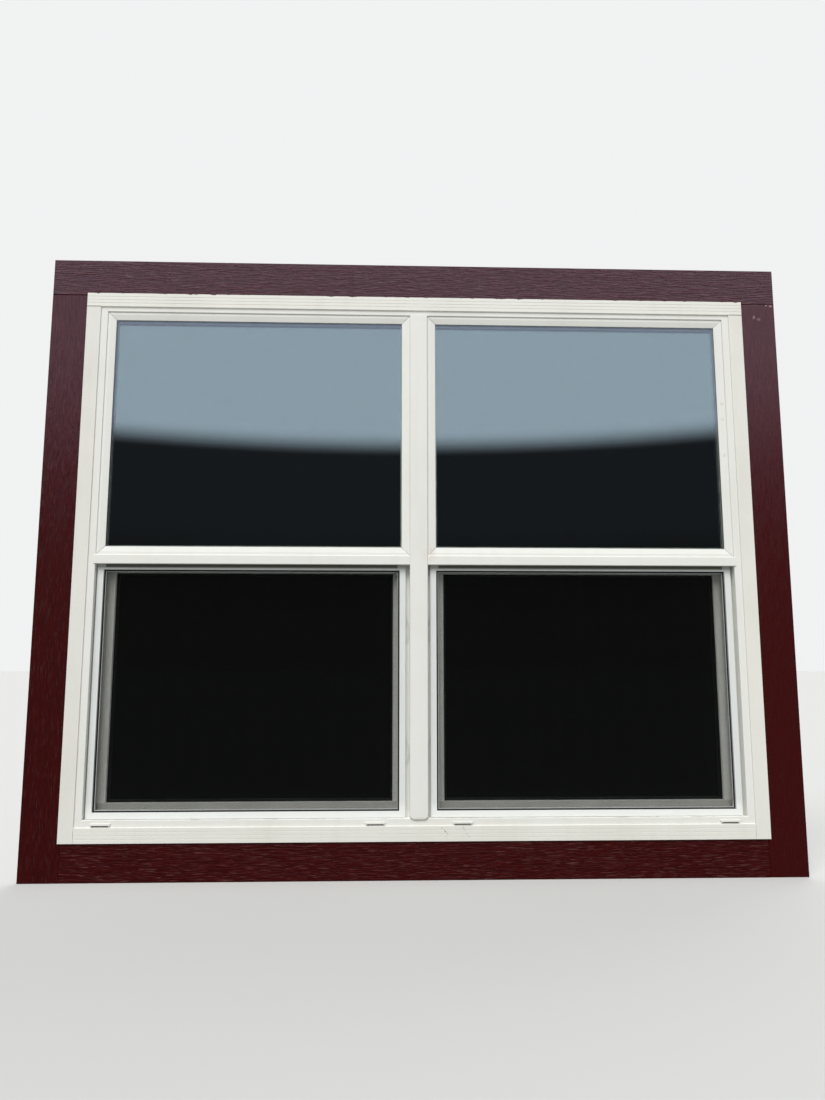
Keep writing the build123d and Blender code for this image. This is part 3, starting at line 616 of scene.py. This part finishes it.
# The marks of this window, each at its own spot
greyScratch = (0.20, 0.185, 0.16, 1)
pinkScuff = (0.60, 0.47, 0.42, 1)
greyDirt = (0.42, 0.40, 0.34, 1)
rubbedPaint = (0.34, 0.27, 0.27, 1)
barePrimer = (0.6, 0.5, 0.5, 1)
openJoint = (0.006, 0.003, 0.003, 1)
sillScratches = [
    scratch(start=(0.0503, 0.0228), end=(0.0555, 0.0190), width=0.0014, tint=greyScratch, depth=0.75),
    scratch(start=(0.0570, 0.0155), end=(0.0641, 0.0082), width=0.0014, tint=greyScratch, depth=0.90),
    scratch(start=(0.0986, 0.0225), end=(0.1122, 0.0014), width=0.0011, tint=greyScratch, depth=0.50),
]
mullionScuff = smudge((0.0241, 0.6400), radius=0.024, tint=pinkScuff, depth=0.32, scale=160.0)
beadLow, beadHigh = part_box("right_upper_beads")
beadX = beadHigh.x - 0.008
beadMarks = [
    smudge((beadLow.x + 0.010, beadLow.z + 0.009), radius=0.014, tint=pinkScuff, depth=0.55, scale=220.0),
    smudge((beadX, 1.0142), radius=0.006, tint=greyDirt, depth=0.55, scale=260.0),
    smudge((beadX, 0.9768), radius=0.006, tint=greyDirt, depth=0.45, scale=260.0),
    smudge((beadX, 0.8865), radius=0.006, tint=greyDirt, depth=0.40, scale=260.0),
]
farX = cadBox[1].x  # the outer edge of the side boards
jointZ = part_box("casing_head")[0].z  # the level at which they meet the head board
chipScale = 900.0
boardMarks = {
    "casing_head": [smudge((0.006 - farX, jointZ + 0.002), radius=0.009, tint=openJoint, depth=0.9)],
    "casing_left": [smudge((0.006 - farX, jointZ - 0.001), radius=0.006, tint=openJoint, depth=0.8)],
    "casing_right": [
        scratch(
            start=(farX - 0.078, jointZ - 0.0005),
            end=(farX - 0.004, jointZ - 0.001),
            width=0.0011,
            tint=rubbedPaint,
            depth=0.35,
        ),
        smudge((farX - 0.020, jointZ - 0.001), radius=0.004, tint=barePrimer, depth=0.9, scale=chipScale),
        smudge((farX - 0.009, jointZ - 0.003), radius=0.005, tint=barePrimer, depth=0.7, scale=chipScale),
        smudge((farX - 0.052, jointZ - 0.033), radius=0.006, tint=rubbedPaint, depth=0.8, scale=chipScale),
        smudge((farX - 0.040, jointZ - 0.038), radius=0.006, tint=rubbedPaint, depth=0.7, scale=chipScale),
    ],
}

# Finishes of the CAD nodes
vinyl = whiteFinish("vinyl", whiteLooks["vinyl"], [sillDarkBand, mullionScuff])
darkenedSashVinyl = whiteFinish("darkenedSashVinyl", whiteLooks["vinyl"], [behindScreenDarkening])
hood = whiteFinish("hood", whiteLooks["vinyl"], [weepSlotShade])
strip = whiteFinish("strip", whiteLooks["strip"], [stripJoint] + sillScratches)
shadedLeftStrip = whiteFinish("shadedLeftStrip", whiteLooks["shadedLeftStrip"], [stripJoint])
litHeadStrip = whiteFinish("litHeadStrip", whiteLooks["litHeadStrip"], [stripJoint, paintEdge])
# Screen bars and corner keys carry the painted shadow of the nose
screenEnamel = whiteFinish("screenEnamel", whiteLooks["screenEnamel"], [lighterFoot, paintedNoseShadow(depth=0.92)])
keyEnamel = whiteFinish("keyEnamel", whiteLooks["screenEnamel"], [lighterFoot, paintedNoseShadow(depth=0.50)])
castEnamel = whiteFinish("castEnamel", whiteLooks["castEnamel"])
lowerFilm = coatedGlass("lowerFilm")
dark = darkGlass("darkGlass", glassLook["dark"])
roomGlass = darkGlass("roomGlass", glassLook["room"])
small = {name: plainFinish(name) for name in plainLooks}

nodeFinishes = {
    "trim_head": litHeadStrip,
    "trim_sill": strip,
    "trim_left": shadedLeftStrip,
    "trim_right": strip,
    "screen_corner_keys": keyEnamel,
    "screen_splines": small["spline"],
    "screen_springs": small["spring"],
    "weep_covers": hood,
    "setting_blocks": small["block"],
    "meeting_rail_seals": small["pile"],
    "upper_spacers": small["spacer"],
    "keeper_screws": small["plated"],
    "tube_screws": small["plated"],
    "balance_tubes": small["tube"],
}
sideFinishes = {
    "screen_bars": screenEnamel,
    "screen_mesh": small["mesh"],
    "sash_spacer": small["sashSpacer"],
    "sash_seals": small["pile"],
    "sash_screws": small["plated"],
    "balance_rods": small["plated"],
    "rod_brackets": small["plated"],
    "sash_bottom_rail": darkenedSashVinyl,
    "lock_base": castEnamel,
    "lock_lever": castEnamel,
    "keeper": castEnamel,
}
for name, part in boardParts.items():
    nodeFinishes[name] = boardFinish(name, **part, marks=boardMarks.get(name, ()))
for side in sides:
    for piece, finish in sideFinishes.items():
        nodeFinishes[f"{side}_{piece}"] = finish
    for piece in ("upper_beads", "sash_beads"):
        name = f"{side}_{piece}"
        marks = [mitres(name)] + (beadMarks if name == "right_upper_beads" else [])
        nodeFinishes[name] = whiteFinish(name + "Vinyl", whiteLooks["vinyl"], marks)


def setFinishes(node, finishes):
    node.data.materials.clear()
    for finish in finishes:
        node.data.materials.append(finish)


# Outdoor panes carry the film; indoor panes are painted near-black outside, as painted shade for the unlit
# room, and a little lighter to the room
def finishPanes(name, node):
    low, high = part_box(name)
    film = lowerFilm
    if name.endswith("upper_panes"):
        ringLow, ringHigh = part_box(name.replace("panes", "beads"))
        outer = max(abs(ringLow.x), abs(ringHigh.x)) - glassLook["beadWidth"]
        film = coatedGlass(name + "Film", ringHigh.z - glassLook["beadWidth"], outer)
    setFinishes(node, [film, dark, roomGlass])
    for face in node.data.polygons:
        indoors = face.center.y > (low.y + high.y) / 2
        facesRoom = face.center.y > high.y - glassLook["faceReach"]
        face.material_index = int(indoors) + int(facesRoom)


for name, node in nodes.items():
    if name.endswith("_panes"):
        finishPanes(name, node)
    else:
        setFinishes(node, [nodeFinishes.get(name, vinyl)])
print("finishes set:", len(bpy.data.materials))

# Eased edges: CAD faces are welded, flat facets joined, and sharp edges rounded
edgeLook = {
    "radii": {"casing": 0.0004, "trim": 0.0005, "screen": 0.0005},
    "otherRadius": 0.0007,
    "segments": 2,
    "weldReach": 0.00001,
    "flatAngle": 0.6,
    "sharpAngle": 32,
    "unrounded": (
        "_panes", "_spacer", "_spacers", "_mesh", "_splines",
        "_seals", "_screws", "_springs", "_rods", "_tubes",
    ),
}


def easeEdges(node, radius):
    weld = node.modifiers.new("weld", "WELD")
    weld.merge_threshold = edgeLook["weldReach"]
    join = node.modifiers.new("join", "DECIMATE")
    join.decimate_type = "DISSOLVE"
    join.angle_limit = math.radians(edgeLook["flatAngle"])
    ease = node.modifiers.new("ease", "BEVEL")
    ease.width = radius
    ease.segments = edgeLook["segments"]
    ease.limit_method = "ANGLE"
    ease.angle_limit = math.radians(edgeLook["sharpAngle"])
    ease.harden_normals = True
    ease.use_clamp_overlap = True


for name, node in nodes.items():
    if not name.endswith(edgeLook["unrounded"]):
        radii = [radius for start, radius in edgeLook["radii"].items() if name.startswith(start)]
        easeEdges(node, radii[0] if radii else edgeLook["otherRadius"])
print("edges eased")

# What all new meshes share
smoothAngle = 38  # sharper edges than this, in degrees, stay sharp


def newObject(name, data):
    made = bpy.data.objects.new(name, data)
    bpy.context.scene.collection.objects.link(made)
    return made


def newPiece(name, work, finish, body):
    bmesh.ops.recalc_face_normals(work, faces=work.faces)
    mesh = bpy.data.meshes.new(name)
    work.to_mesh(mesh)
    work.free()
    mesh.shade_smooth()
    mesh.set_sharp_from_angle(angle=math.radians(smoothAngle))
    mesh.materials.append(finish)
    piece = newObject(name, mesh)
    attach(piece, body)
    return piece


# Joins each loop of vertices to the next, and the last to the first in a ring
def joinLoops(work, loops, ring=False):
    count = len(loops[0])
    pairs = list(zip(loops, loops[1:]))
    if ring:
        pairs.append((loops[-1], loops[0]))
    for first, second in pairs:
        for step in range(count):
            after = (step + 1) % count
            work.faces.new((first[step], first[after], second[after], second[step]))


def closeEnds(work, loops):
    work.faces.new(loops[0][::-1])
    work.faces.new(loops[-1])


# Loops of a turned form, from rings of distance and radius along an axis from a spot
def turned(work, spot, along, rings, count):
    turn = along.to_track_quat("Z", "Y")
    loops = []
    for distance, radius in rings:
        loop = []
        for step in range(count):
            angle = 2 * math.pi * step / count
            place = Vector((radius * math.cos(angle), radius * math.sin(angle), distance))
            loop.append(work.verts.new(spot + turn @ place))
        loops.append(loop)
    return loops


def rotated(x, y, angle):
    cosine, sine = math.cos(angle), math.sin(angle)
    return x * cosine - y * sine, x * sine + y * cosine


# Insect mesh: crossed strands in place of each mesh sheet
meshLook = {"pitch": 0.00141, "strand": 0.00029}


def addStrand(work, start, end):
    run = (end - start).normalized()
    half = meshLook["strand"] / 2
    wide = Vector((0, 1, 0)).cross(run) * half
    deep = Vector((0, half, 0))
    loops = []
    for place in (start, end):
        loops.append([work.verts.new(place + part) for part in (wide, deep, -wide, -deep)])
    joinLoops(work, loops)
    closeEnds(work, loops)


def insectMesh(side):
    low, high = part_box(f"{side}_screen_mesh")
    middle = (low.y + high.y) / 2
    work = bmesh.new()
    across = int((high.x - low.x) / meshLook["pitch"])
    up = int((high.z - low.z) / meshLook["pitch"])
    for step in range(across + 1):
        x = low.x + (high.x - low.x) * step / across
        addStrand(work, Vector((x, middle, low.z)), Vector((x, middle, high.z)))
    for step in range(up + 1):
        z = low.z + (high.z - low.z) * step / up
        addStrand(work, Vector((low.x, middle, z)), Vector((high.x, middle, z)))
    piece = newPiece(f"{side}_insect_mesh", work, small["mesh"], "frame")
    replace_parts(piece, f"{side}_screen_mesh")


for side in sides:
    insectMesh(side)
print("insect meshes strung")

# Mullion cap: a thin cover with eased edges and round lower corners
capLook = {"cornerRadius": 0.0110, "edgeRadius": 0.0024, "steps": 12}


def mullionCover():
    low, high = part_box("mullion_cap")
    work = bmesh.new()
    edge, corner, steps = capLook["edgeRadius"], capLook["cornerRadius"], capLook["steps"]
    rings = [(0.0, high.y)]
    for step in range(steps + 1):
        angle = math.pi / 2 * step / steps
        rings.append((edge * (1 - math.cos(angle)), low.y + edge * (1 - math.sin(angle))))
    loops = []
    for inset, depth in rings:
        radius = corner - inset
        places = [(high.x - inset, high.z), (low.x + inset, high.z)]
        for centre, start in ((low.x + corner, math.pi), (high.x - corner, 1.5 * math.pi)):
            for step in range(steps + 1):
                angle = start + math.pi / 2 * step / steps
                places.append((centre + radius * math.cos(angle), low.z + corner + radius * math.sin(angle)))
        loops.append([work.verts.new((x, depth, z)) for x, z in places])
    joinLoops(work, loops)
    closeEnds(work, loops)
    cover = newPiece("mullion_cover", work, vinyl, "frame")
    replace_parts(cover, "mullion_cap")


mullionCover()
print("mullion cap made")

# Balances: round tubes and fast-twisted rods, at the same reach from the middle of their unit
balanceLook = {"reach": 0.37775, "radius": 0.005, "wall": 0.0008, "sides": 32}
rodLook = {"halfWidth": 0.0027, "halfThick": 0.0006, "ease": 0.0003, "pitch": 0.036, "stepsPerTurn": 16}


def balanceCentres(side):
    low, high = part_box(f"{side}_lock_base")
    return [(low.x + high.x) / 2 + end * balanceLook["reach"] for end in (-1, 1)]


def roundTubes():
    low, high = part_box("balance_tubes")
    work = bmesh.new()
    outer = balanceLook["radius"]
    inner = outer - balanceLook["wall"]
    length = high.z - low.z
    rings = [(0, outer), (length, outer), (length, inner), (0, inner)]
    for side in sides:
        for centre in balanceCentres(side):
            spot = Vector((centre, 0, low.z))
            joinLoops(work, turned(work, spot, Vector((0, 0, 1)), rings, balanceLook["sides"]), ring=True)
    tubes = newPiece("round_balance_tubes", work, small["tube"], "frame")
    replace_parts(tubes, "balance_tubes")


def twistedRods(side):
    low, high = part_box(f"{side}_balance_rods")
    work = bmesh.new()
    wide, thin, ease = rodLook["halfWidth"], rodLook["halfThick"], rodLook["ease"]
    corners = []
    for signX, signY in ((1, 1), (-1, 1), (-1, -1), (1, -1)):
        pair = [(signX * wide, signY * (thin - ease)), (signX * (wide - ease), signY * thin)]
        corners += pair if signX * signY > 0 else pair[::-1]
    steps = int((high.z - low.z) / rodLook["pitch"] * rodLook["stepsPerTurn"])
    for centre in balanceCentres(side):
        loops = []
        for step in range(steps + 1):
            rise = (high.z - low.z) * step / steps
            angle = 2 * math.pi * rise / rodLook["pitch"]
            spots = [rotated(x, y, angle) for x, y in corners]
            loops.append([work.verts.new((centre + x, y, low.z + rise)) for x, y in spots])
        joinLoops(work, loops)
        closeEnds(work, loops)
    rods = newPiece(f"{side}_twisted_rods", work, small["plated"], f"{side}_sash")
    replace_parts(rods, f"{side}_balance_rods")


roundTubes()
for side in sides:
    twistedRods(side)
print("balances made")

# Screws: pan heads with a cross recess, and threads below
screwLook = {
    "headRadius": 0.0029,
    "headHeight": 0.0015,
    # in shares of the head's height and radius
    "headShape": ((0.0, 1.0), (0.35, 1.0), (0.75, 0.88), (0.94, 0.70), (1.0, 0.54)),
    "root": 0.0012,
    "thread": 0.0015,
    "pitch": 0.0011,
    "crest": 0.3,  # in shares of the pitch, as the next two
    "valley": 0.6,
    "tipLength": 0.8,
    "tipRadius": 0.3,  # in shares of the root
    "sides": 20,
    "recessReach": 0.0013,
    "recessHalf": 0.00035,
    "recessDepth": 0.0009,
    "recessFloor": 0.62,
    "endReach": 0.00005,
}
joinReach = 0.00001  # vertices closer than this are one


# The box of each separate solid of a node, with its vertices' places
def solidBoxes(node):
    work = bmesh.new()
    work.from_mesh(node.data)
    bmesh.ops.remove_doubles(work, verts=work.verts, dist=joinReach)
    left = set(work.verts)
    boxes = []
    while left:
        waiting = [left.pop()]
        places = []
        while waiting:
            vert = waiting.pop()
            places.append(vert.co.copy())
            for edge in vert.link_edges:
                other = edge.other_vert(vert)
                if other in left:
                    left.discard(other)
                    waiting.append(other)
        low = Vector([min(place[axis] for place in places) for axis in range(3)])
        high = Vector([max(place[axis] for place in places) for axis in range(3)])
        boxes.append((low, high, places))
    work.free()
    return sorted(boxes, key=lambda box: tuple(box[0]))


# The tip of a screw and the top of its head, which is its wider end
def screwEnds(low, high, places):
    middle = (low + high) / 2
    long = max(range(3), key=lambda axis: high[axis] - low[axis])
    ends = []
    for limit in (low, high):
        end = middle.copy()
        end[long] = limit[long]
        atEnd = [place for place in places if abs(place[long] - limit[long]) < screwLook["endReach"]]
        ends.append((max((place - end).length for place in atEnd), end))
    ends.sort(key=lambda pair: pair[0])
    return ends[0][1], ends[1][1]


def addScrew(work, tip, top):
    look = screwLook
    pitch, root = look["pitch"], look["root"]
    along = (top - tip).normalized()
    seat = (top - tip).length - look["headHeight"]
    rings = [(0.0, root * look["tipRadius"]), (pitch * look["tipLength"], root)]
    height = pitch
    while height < seat - pitch:
        rings.append((height + pitch * look["crest"], look["thread"]))
        rings.append((height + pitch * look["valley"], root))
        height += pitch
    rings.append((seat, root))
    for rise, share in look["headShape"]:
        rings.append((seat + look["headHeight"] * rise, look["headRadius"] * share))
    loops = turned(work, tip, along, rings, look["sides"])
    joinLoops(work, loops)
    work.faces.new(loops[0][::-1])
    reach, half = look["recessReach"], look["recessHalf"]
    cross = []
    for arm in range(4):
        for x, y in ((reach, -half), (reach, half), (half, half)):
            cross.append(rotated(x, y, math.pi / 2 * arm))
    turn = along.to_track_quat("Z", "Y")
    rims = []
    for scale, drop in ((1.0, 0.0), (look["recessFloor"], look["recessDepth"])):
        spots = [turn @ Vector((x * scale, y * scale, -drop)) for x, y in cross]
        rims.append([work.verts.new(top + spot) for spot in spots])
    joinLoops(work, rims)
    work.faces.new(rims[1])
    edges = []
    for loop in (loops[-1], rims[0]):
        for step, vert in enumerate(loop):
            edges.append(work.edges.get((vert, loop[(step + 1) % len(loop)])))
    bmesh.ops.triangle_fill(work, use_beauty=True, edges=edges, normal=along)


def panScrews(name, node, body):
    work = bmesh.new()
    for box in solidBoxes(nodes[node]):
        addScrew(work, *screwEnds(*box))
    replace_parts(newPiece(name, work, small["plated"], body), node)


panScrews("keeper_pan_screws", "keeper_screws", "frame")
panScrews("tube_pan_screws", "tube_screws", "frame")
for side in sides:
    panScrews(f"{side}_sash_pan_screws", f"{side}_sash_screws", f"{side}_sash")
print("screws made")

# Leaf springs: thin arched blades between each screen and the mullion
springLook = {"thick": 0.00035, "front": 0.0025, "back": 0.0020, "steps": 24}


def leafSprings():
    work = bmesh.new()
    steps = springLook["steps"]
    for low, high, places in solidBoxes(nodes["screen_springs"]):
        atScreen, atMullion = sorted((low.x, high.x), key=abs, reverse=True)
        thick = math.copysign(springLook["thick"], atScreen - atMullion)
        front, back = low.y + springLook["front"], high.y - springLook["back"]
        loops = []
        for step in range(steps + 1):
            share = step / steps
            arch = math.sin(math.pi * share) ** 2
            inner = atScreen - thick + (atMullion + thick - atScreen) * arch
            z = low.z + (high.z - low.z) * share
            corners = ((inner, front), (inner + thick, front), (inner + thick, back), (inner, back))
            loops.append([work.verts.new((x, y, z)) for x, y in corners])
        joinLoops(work, loops)
        closeEnds(work, loops)
    springs = newPiece("leaf_springs", work, small["spring"], "frame")
    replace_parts(springs, "screen_springs")


leafSprings()
print("springs made")

# Stage: floor, world, lamps and camera
stageLook = {
    "floorReach": 60.0,
    "floorSides": 64,
    "floorRoughness": 0.9,
    "floorSeen": (0.58, 0.58, 0.57, 1),
    "floorLit": (0.34, 0.34, 0.325, 1),
    "floorMirrored": (0.0095, 0.0095, 0.0080, 1),
    "skySeen": (0.88, 0.885, 0.89, 1),
    "skyLit": (0.38, 0.39, 0.41, 1),
    "skyMirrored": (0.94, 0.98, 1.06, 1),
    "lowMirrored": (0.027, 0.026, 0.029, 1),
    "deepMirrored": (0.0100, 0.0098, 0.0078, 1),
    "mirrorDeepLow": 0.085,
    "mirrorDeepHigh": 0.17,
    "mirrorLow": 0.247,
    "mirrorHigh": 0.276,
}
sunLooks = {
    "frontSun": {
        "strength": 3.02,
        "spread": 36.0,
        "height": 55.0,
        "turn": -14.0,
        "colour": (1.0, 0.99, 0.97),
    },
    "backFill": {
        "strength": 1.3,
        "spread": 60.0,
        "height": 40.0,
        "turn": 160.0,
        "colour": (0.97, 0.98, 1.0),
    },
}
cameraLook = {
    "place": (-0.0795, -1.9727, 0.3861),
    "ahead": (0.0333, 0.9901, 0.1366),
    "lens": 27.03,
    "sensor": 36.0,
}


def addFloor():
    work = bmesh.new()
    reach, count = stageLook["floorReach"], stageLook["floorSides"]
    bmesh.ops.create_circle(work, cap_ends=True, radius=reach, segments=count)
    bmesh.ops.translate(work, verts=work.verts, vec=(0, 0, cadBox[0].z))
    mesh = bpy.data.meshes.new("floor")
    work.to_mesh(mesh)
    work.free()
    floor = newObject("floor", mesh)
    material, sheet = newFinish("floorFinish")
    seen = sheet.node("ShaderNodeLightPath", output="Is Camera Ray")
    mirrored = sheet.node("ShaderNodeLightPath", output="Is Glossy Ray")
    colour = sheet.mixed(seen, stageLook["floorLit"], stageLook["floorSeen"])
    colour = sheet.mixed(mirrored, colour, stageLook["floorMirrored"])
    roughness = stageLook["floorRoughness"]
    sheet.finish(sheet.principled({"Base Color": colour, "Roughness": roughness, "Specular IOR Level": 0.0}))
    mesh.materials.append(material)


# The world is pale to the camera, soft on surfaces, and dark low down where the glass mirrors it
def setWorld():
    world = bpy.data.worlds.new("studio")
    bpy.context.scene.world = world
    sheet = Sheet(world)
    seen = sheet.node("ShaderNodeLightPath", output="Is Camera Ray")
    through = sheet.node("ShaderNodeLightPath", output="Is Transmission Ray")
    mirrored = sheet.node("ShaderNodeLightPath", output="Is Glossy Ray")
    x, y, z = sheet.axes(sheet.node("ShaderNodeTexCoord", output="Generated"))
    high = sheet.rise(z, stageLook["mirrorLow"], stageLook["mirrorHigh"])
    deep = sheet.rise(z, stageLook["mirrorDeepLow"], stageLook["mirrorDeepHigh"])
    mirror = sheet.mixed(deep, stageLook["deepMirrored"], stageLook["lowMirrored"])
    mirror = sheet.mixed(high, mirror, stageLook["skyMirrored"])
    colour = sheet.mixed(mirrored, stageLook["skyLit"], mirror)
    colour = sheet.mixed(sheet.most(seen, through), colour, stageLook["skySeen"])
    background = sheet.node("ShaderNodeBackground", inputs={"Color": colour, "Strength": 1.0})
    sheet.finish(background, "ShaderNodeOutputWorld")


def addLamp(name, look):
    light = bpy.data.lights.new(name, "SUN")
    light.energy = look["strength"]
    light.angle = math.radians(look["spread"])
    light.color = look["colour"]
    lamp = newObject(name, light)
    lamp.rotation_euler = (math.radians(90 - look["height"]), 0, math.radians(look["turn"]))
    lamp.visible_glossy = False


def addCamera():
    data = bpy.data.cameras.new("camera")
    data.lens = cameraLook["lens"]
    data.sensor_width = cameraLook["sensor"]
    camera = newObject("camera", data)
    camera.location = cameraLook["place"]
    camera.rotation_euler = Vector(cameraLook["ahead"]).to_track_quat("-Z", "Y").to_euler()
    bpy.context.scene.camera = camera


addFloor()
setWorld()
for name, look in sunLooks.items():
    addLamp(name, look)
addCamera()
bpy.context.scene.view_settings.view_transform = "Standard"
print("stage set")
